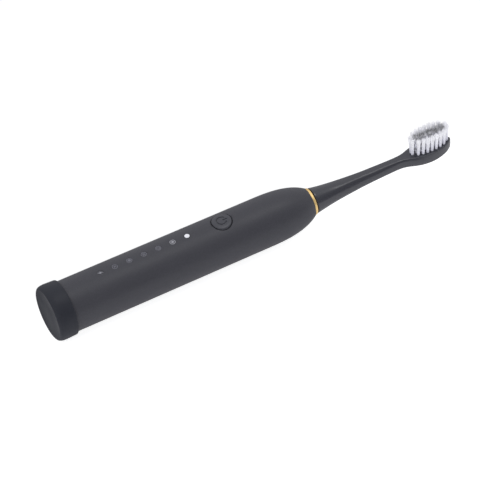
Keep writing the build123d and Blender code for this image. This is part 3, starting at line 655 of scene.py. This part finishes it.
# Inner pieces: the charging base, the carrier with its cell and board, and the motor. The design's
# own solids are kept, and each gets the finish of what it is made of.
natural_plastic = moulded("natural_plastic", (0.62, 0.61, 0.57), (0.75, 0.75, 0.72), 1800.0, (0.4, 0.55))
solder_mask = moulded("solder_mask", (0.012, 0.095, 0.035), (0.05, 0.2, 0.1), 1500.0, (0.25, 0.4),
                      Coat_Weight=0.3)
black_epoxy = moulded("black_epoxy", (0.015, 0.015, 0.016), (0.05, 0.05, 0.05), 4200.0, (0.45, 0.6))
clear_resin = moulded("clear_resin", (0.75, 0.72, 0.5), (0.8, 0.8, 0.8), 900.0, (0.1, 0.2),
                      Coat_Weight=0.5)
cell_foam = moulded("cell_foam", (0.05, 0.05, 0.052), (0.08, 0.08, 0.08), 1400.0, (0.85, 0.95), bump=0.6,
                    bump_depth=0.0001)
dark_ferrite = moulded("dark_ferrite", (0.03, 0.03, 0.032), (0.09, 0.09, 0.09), 2200.0, (0.5, 0.65),
                       bump=0.3)
wire_sleeve = moulded("wire_sleeve", (0.35, 0.02, 0.02), (0.4, 0.1, 0.1), 1200.0, (0.3, 0.4))
copper_turns = brushed("copper_turns", (0.72, 0.3, 0.14), (6000.0, 90.0, 90.0), (0.2, 0.35), bump=0.5)
nickel_can = brushed("nickel_can", (0.58, 0.58, 0.58), (150.0, 2500.0, 2500.0), (0.25, 0.4))
ground_steel = brushed("ground_steel", (0.62, 0.62, 0.63), (3500.0, 150.0, 150.0), (0.15, 0.3))
spring_strip = brushed("spring_strip", (0.45, 0.45, 0.46), (200.0, 2000.0, 2000.0), (0.25, 0.4))
magnet_plate = brushed("magnet_plate", (0.66, 0.66, 0.68), (200.0, 300.0, 300.0), (0.08, 0.18))
sintered_bronze = brushed("sintered_bronze", (0.45, 0.27, 0.12), (2600.0, 2600.0, 2600.0), (0.35, 0.55),
                          bump=0.4)

INNER_FINISHES = {
    natural_plastic: ("base_plug", "coil_bobbin", "chassis", "shaft_socket"),
    solder_mask: ("circuit_board",),
    black_epoxy: ("board_chips", "light_guide", "button_switch"),
    clear_resin: ("indicator_lights", "switch_plunger"),
    cell_foam: ("battery_pad",),
    dark_ferrite: ("coil_core",),
    wire_sleeve: ("coil_leads", "motor_leads"),
    copper_turns: ("charging_coil", "stator_coil"),
    nickel_can: ("battery_cell", "battery_tabs", "motor_can"),
    ground_steel: ("board_screws", "stator_yoke", "rotor_core", "drive_shaft"),
    spring_strip: ("centring_spring", "socket_clip"),
    magnet_plate: ("rotor_magnets",),
    sintered_bronze: ("rear_bearing", "front_bearing"),
    seal_rubber: ("base_o_ring", "motor_damper", "shaft_seal"),
}
for finish, node_names in INNER_FINISHES.items():
    for node_name in node_names:
        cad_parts[node_name].data.materials.clear()
        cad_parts[node_name].data.materials.append(finish)

# Brush head: the collar, the slim neck and the oval plate are one moulding in dark satin plastic.
# A crisp ridge starts on each side of the neck, parts the flat front from the flank, and runs out
# into the rim of the plate.
COLLAR_START, COLLAR_CAVITY_END, COLLAR_CAVITY_RADIUS = 154.9, 158.9, 5.0
SOCKET_RADIUS, SOCKET_END = 3.22, 176.8
PLATE_TOP, PLATE_START, TIP_ROUNDING_START = 3.5, 206.0, 235.8
# Each station: x, half width, depth below the axis, squareness of the back, height of the crown,
# the ridge's y and z, how steeply the flank leaves it in degrees, and the flank's two pulls
HEAD_STATIONS = [(154.9, 7.05, 7.05, 2.0, 7.05, 2.9, 6.43, 24, 2.77, 2.77),
                 (160.0, 6.25, 6.2, 2.0, 6.27, 2.7, 5.64, 25, 2.4, 2.4),
                 (166.0, 5.45, 5.25, 2.0, 5.52, 2.5, 4.97, 23, 1.8, 2.25),
                 (172.0, 4.85, 4.5, 2.0, 4.94, 2.2, 4.64, 19, 1.2, 2.15),
                 (178.0, 4.28, 3.9, 2.1, 4.58, 1.75, 4.42, 17, 1.2, 2.25),
                 (184.0, 3.85, 3.35, 2.1, 4.3, 1.45, 4.18, 17, 1.2, 2.35),
                 (192.0, 3.5, 2.8, 2.2, 4.03, 1.4, 3.94, 17, 1.2, 2.3),
                 (200.0, 3.2, 2.4, 2.4, 3.9, 1.5, 3.84, 22, 0.85, 2.2),
                 (206.0, 3.1, 2.25, 2.6, 3.76, 1.75, 3.74, 26, 0.65, 2.0),
                 (210.0, 3.65, 2.4, 3.0, 3.56, 2.5, 3.55, 42, 0.8, 1.7),
                 (214.0, 5.05, 2.6, 3.6, PLATE_TOP, 3.95, PLATE_TOP, 60, 1.4, 1.5),
                 (218.0, 6.0, 2.9, 4.2, PLATE_TOP, 5.05, PLATE_TOP, 66, 1.5, 1.5),
                 (222.0, 6.4, 3.0, 4.6, PLATE_TOP, 5.8, PLATE_TOP, 72, 1.5, 1.5),
                 (226.0, 6.25, 2.9, 5.0, PLATE_TOP, 5.9, PLATE_TOP, 80, 1.5, 1.5),
                 (230.0, 5.5, 2.55, 4.8, PLATE_TOP, 5.25, PLATE_TOP, 84, 1.5, 1.5),
                 (233.5, 4.2, 2.1, 4.4, PLATE_TOP, 4.0, PLATE_TOP, 84, 1.5, 1.5),
                 (236.2, 2.2, 1.5, 4.0, PLATE_TOP, 2.05, PLATE_TOP, 84, 1.5, 1.5),
                 (237.4, 0.5, 0.6, 3.0, 3.1, 0.4, 3.0, 80, 1.3, 1.3)]
TOP_POINTS, FLANK_POINTS, BACK_POINTS = 8, 15, 15
RIDGE_ROUNDING = 0.2


def head_shape(x):
    """The head's section values at x, joined smoothly from station to station."""
    last = len(HEAD_STATIONS) - 2
    index = next((i for i in range(last + 1) if x <= HEAD_STATIONS[i + 1][0]), last)
    before, start = HEAD_STATIONS[max(index - 1, 0)], HEAD_STATIONS[index]
    end, after = HEAD_STATIONS[index + 1], HEAD_STATIONS[min(index + 2, last + 1)]
    span = end[0] - start[0]
    t = (x - start[0]) / span
    from_start, from_end = 2 * t ** 3 - 3 * t ** 2 + 1, 3 * t ** 2 - 2 * t ** 3
    from_slope_in, from_slope_out = t ** 3 - 2 * t ** 2 + t, t ** 3 - t ** 2
    values = []
    for column in range(1, len(start)):
        slope_in = (end[column] - before[column]) / (end[0] - before[0]) * span
        slope_out = (after[column] - start[column]) / (after[0] - start[0]) * span
        values.append(from_start * start[column] + from_slope_in * slope_in
                      + from_end * end[column] + from_slope_out * slope_out)
    return values


def head_section(x):
    """Points of the skin at x: from the crown down one side to the middle of the back, then up again."""
    (half_width, depth, squareness, crown, ridge_y, ridge_z,
     steepness, ridge_pull, waist_pull) = head_shape(x)
    rounding = min(RIDGE_ROUNDING, ridge_y / 2)
    side = []
    for step in range(TOP_POINTS):
        y = (ridge_y - rounding) * step / (TOP_POINTS - 1)
        side.append((y, crown - (crown - ridge_z) * (y / ridge_y) ** 2))
    leaving = math.radians(steepness)
    ridge, waist = Vector((ridge_y, ridge_z)), Vector((half_width, 0))
    first = ridge + Vector((math.cos(leaving), -math.sin(leaving))) * ridge_pull
    second = waist + Vector((0, waist_pull))
    start = rounding / (3 * ridge_pull)
    for step in range(FLANK_POINTS):
        t = start + (1 - start) * (step / FLANK_POINTS) ** 1.3
        spot = ((1 - t) ** 3 * ridge + 3 * (1 - t) ** 2 * t * first
                + 3 * (1 - t) * t ** 2 * second + t ** 3 * waist)
        side.append((spot.x, spot.y))
    for step in range(BACK_POINTS + 1):
        angle = math.pi / 2 * step / BACK_POINTS
        side.append((half_width * math.cos(angle) ** (2 / squareness),
                     -depth * math.sin(angle) ** (2 / squareness)))
    side[-1] = (0, -depth)
    other = [(-y, z) for y, z in side[-2:0:-1]]
    return [Vector((x, y, z)) for y, z in side + other]


HEAD_SIDES = 2 * (TOP_POINTS + FLANK_POINTS + BACK_POINTS)


def extruded_ring(form, edges):
    """Extrudes an open ring of edges, and gives the new points and the new ring's edges."""
    grown = bmesh.ops.extrude_edge_only(form, edges=edges)["geom"]
    points = {part for part in grown if isinstance(part, bmesh.types.BMVert)}
    ring = [part for part in grown if isinstance(part, bmesh.types.BMEdge) and set(part.verts) <= points]
    return points, ring


def grown_ring(form, points, edges, places):
    """Extrudes an open ring of edges and sets the new points, in the old ones' order."""
    new_points, new_edges = extruded_ring(form, edges)
    following = [next(other for other in (edge.other_vert(point) for edge in point.link_edges)
                      if other in new_points) for point in points]
    for point, place in zip(following, places):
        point.co = place
    return following, new_edges


def circle_places(x, radius):
    """Places round a circle, from the top towards the far side, one for each point of a section."""
    turns = [2 * math.pi * step / HEAD_SIDES for step in range(HEAD_SIDES)]
    return [Vector((x, radius * math.sin(turn), radius * math.cos(turn))) for turn in turns]


head_form = bmesh.new()
collar_points = bmesh.ops.create_circle(head_form, cap_ends=False, segments=HEAD_SIDES, radius=1.0)["verts"]
collar_edges = list(head_form.edges)
head_steps = steps_between(COLLAR_START + 0.35, PLATE_START, 0.75)
head_steps += steps_between(PLATE_START, TIP_ROUNDING_START, 0.5)[1:]
head_steps += [TIP_ROUNDING_START + (LENGTH - TIP_ROUNDING_START) * math.sin(math.pi / 2 * step / 8)
               for step in range(1, 9)]
for point, place in zip(collar_points, head_section(head_steps[0])):
    point.co = place
skin_points, skin_edges = collar_points, collar_edges
for x in head_steps[1:]:
    skin_points, skin_edges = grown_ring(head_form, skin_points, skin_edges, head_section(x))
bmesh.ops.edgeloop_fill(head_form, edges=skin_edges)
bore_shape = [(COLLAR_START + 0.1, 6.92), (COLLAR_START, 6.7), (COLLAR_START, COLLAR_CAVITY_RADIUS),
              (COLLAR_CAVITY_END, COLLAR_CAVITY_RADIUS), (COLLAR_CAVITY_END, SOCKET_RADIUS),
              (SOCKET_END, SOCKET_RADIUS)]
bore_points, bore_edges = collar_points, collar_edges
for x, radius in bore_shape:
    bore_points, bore_edges = grown_ring(head_form, bore_points, bore_edges, circle_places(x, radius))
bmesh.ops.edgeloop_fill(head_form, edges=bore_edges)
head_moulding = make_object("head_moulding", head_form, sharp_degrees=60.0)
# The head's strong edge lightening is partly wear and mostly a painted highlight along the ridge and the
# plate's rim
head_plastic = moulded("head_plastic", (0.046, 0.047, 0.059), (0.13, 0.13, 0.14), 3000.0, (0.18, 0.25),
                       wear_and_highlight=0.6, Specular_IOR_Level=0.55)
finish_piece(head_moulding, head_plastic, "head", "head_plastic", "brush_head")

# Bristles: each tuft is a round bundle of fine nylon strands, stapled into the plate and fanning out
# a little to its trimmed end. The two inner rows are dyed grey towards their ends.
TUFT_TOP, ROOT_DEPTH = 14.7, 0.3
LONGEST_PAST_TOP, SHORTEST_BELOW_TOP = 0.15, 0.5
TUFT_PITCH, TUFT_COLUMNS, TUFT_FIRST_X = 2.55, 9, 214.5
INNER_ROW_Y, OUTER_ROW_Y, FIELD_HALF_LENGTH = 0.85, 3.6, 11.0
BRISTLE_LEAN, BRISTLE_FLARE = 0.3, 0.15
TUFT_RADIUS, TUFT_SPREAD, TUFT_FLARE, STRAY = 0.74, 0.05, 0.52, 0.3
STRAND_RINGS, STRAND_RADIUS, STRAND_SIDES = 4, 0.1, 5
# How far up the strand each stage ends, and its thickness there as a share of the root's
STRAND_STAGES = ((0.6, 1.0), (0.84, 0.95), (1.0, 0.45))
dice = random.Random(7)


def tuft_places():
    """The roots of the tufts: the white ones, then the grey-ended ones."""
    white, grey = [], []
    middle = TUFT_FIRST_X + TUFT_PITCH * (TUFT_COLUMNS - 1) / 2
    for column in range(TUFT_COLUMNS):
        x = TUFT_FIRST_X + TUFT_PITCH * column
        row_y = OUTER_ROW_Y * math.sqrt(1 - ((x - middle) / FIELD_HALF_LENGTH) ** 2)
        for side in (-1, 1):
            if column in (0, TUFT_COLUMNS - 1):
                white.append((x, side * INNER_ROW_Y))
            else:
                grey.append((x, side * INNER_ROW_Y))
                white.append((x, side * row_y))
    return white, grey, middle


def strand_spots():
    """Where the strands of a bundle stand, as shares of its radius."""
    spots = [(0.0, 0.0)]
    for ring in range(1, STRAND_RINGS + 1):
        for step in range(6 * ring):
            angle = 2 * math.pi * (step + 0.5 * ring) / (6 * ring)
            reach = ring / STRAND_RINGS * (1 - STRAND_RADIUS / TUFT_RADIUS)
            spots.append((reach * math.cos(angle), reach * math.sin(angle)))
    return spots


def add_strand(form, root, tip, flare):
    """One strand: a slim bar that bends out by the flare near its tip and ends in a soft point."""
    made = bmesh.ops.create_circle(form, cap_ends=False, segments=STRAND_SIDES, radius=STRAND_RADIUS)
    edges = list({edge for point in made["verts"] for edge in point.link_edges})
    for point in made["verts"]:
        point.co += root
    centre = root
    scale_before = 1.0
    for share, scale in STRAND_STAGES:
        new_points, edges = extruded_ring(form, edges)
        middle = root.lerp(tip, share) + flare * share ** 3
        for point in new_points:
            offset = (point.co - centre) * scale / scale_before
            point.co = middle + Vector((offset.x, offset.y, 0))
        centre, scale_before = middle, scale
    bmesh.ops.edgeloop_fill(form, edges=edges)


def tuft_form(x, y, middle):
    """A bundle of strands on its root."""
    form = bmesh.new()
    lean_x = BRISTLE_LEAN + BRISTLE_FLARE * (x - middle) / FIELD_HALF_LENGTH
    lean_y = y / OUTER_ROW_Y
    for across, along in strand_spots():
        spot = Vector((across, along, 0))
        root = Vector((x, y, PLATE_TOP - ROOT_DEPTH)) + spot * TUFT_RADIUS
        trim = dice.uniform(-SHORTEST_BELOW_TOP, LONGEST_PAST_TOP)
        height = TUFT_TOP - PLATE_TOP + ROOT_DEPTH + trim
        tip = root + Vector((lean_x, lean_y, height)) + spot * TUFT_SPREAD
        stray = Vector((dice.uniform(-STRAY, STRAY), dice.uniform(-STRAY, STRAY), 0))
        add_strand(form, root, tip, spot * TUFT_FLARE + stray)
    return form


white_places, grey_places, field_middle = tuft_places()
white_tufts = [tuft_form(x, y, field_middle) for x, y in white_places]
white_bristles = make_object("white_bristles", joined(white_tufts))
grey_tufts = [tuft_form(x, y, field_middle) for x, y in grey_places]
grey_bristles = make_object("grey_bristles", joined(grey_tufts))


def nylon(name, root_colour, end_colour, change_start, change_end, darkest, glow):
    """Translucent nylon strands whose colour changes from the root to the cut end, with a faint emission
    that is painted light.
    """
    material = bpy.data.materials.new(name)
    material.use_nodes = True
    tree = material.node_tree
    shader = tree.nodes["Principled BSDF"]
    n = add_nodes(tree, place="ShaderNodeTexCoord", split="ShaderNodeSeparateXYZ",
                  height="ShaderNodeMapRange", colour="ShaderNodeMix", speck="ShaderNodeTexNoise",
                  tone="ShaderNodeMapRange", shade="ShaderNodeMix")
    link = tree.links.new
    link(n["place"].outputs["Object"], n["split"].inputs["Vector"])
    link(n["split"].outputs["Z"], n["height"].inputs["Value"])
    n["height"].interpolation_type = "SMOOTHSTEP"
    n["height"].inputs["From Min"].default_value = (change_start + AXIS_HEIGHT) * MM
    n["height"].inputs["From Max"].default_value = (change_end + AXIS_HEIGHT) * MM
    n["colour"].data_type = "RGBA"
    n["colour"].inputs["A"].default_value = (*root_colour, 1)
    n["colour"].inputs["B"].default_value = (*end_colour, 1)
    link(n["height"].outputs["Result"], n["colour"].inputs["Factor"])
    n["speck"].inputs["Scale"].default_value = 620.0
    link(n["place"].outputs["Object"], n["speck"].inputs["Vector"])
    n["tone"].inputs["From Min"].default_value = 0.35
    n["tone"].inputs["From Max"].default_value = 0.62
    n["tone"].inputs["To Min"].default_value = darkest
    n["tone"].inputs["To Max"].default_value = 1.08
    link(n["speck"].outputs["Fac"], n["tone"].inputs["Value"])
    n["shade"].data_type = "RGBA"
    n["shade"].blend_type = "MULTIPLY"
    n["shade"].inputs["Factor"].default_value = 1.0
    link(n["colour"].outputs["Result"], n["shade"].inputs["A"])
    link(n["tone"].outputs["Result"], n["shade"].inputs["B"])
    link(n["shade"].outputs["Result"], shader.inputs["Base Color"])
    shader.inputs["Roughness"].default_value = 0.35
    # The emission is painted light: it lifts the strands where they stand in shade
    shader.inputs["Emission Color"].default_value = (0.95, 0.95, 1.0, 1)
    shader.inputs["Emission Strength"].default_value = glow
    return material


# The last value is each nylon's painted glow, painted light that brightens the shaded tufts
white_nylon = nylon("white_nylon", (0.76, 0.76, 0.85), (0.96, 0.96, 0.98), 3.0, 13.0, 0.92, 0.1)
grey_nylon = nylon("grey_ended_nylon", (0.78, 0.78, 0.85), (0.74, 0.74, 0.76), 11.8, 14.3, 0.2, 0.06)
finish_piece(white_bristles, white_nylon, "head", "bristle_white", "outer_tufts")
finish_piece(grey_bristles, grey_nylon, "head", "bristle_grey", "inner_tufts")
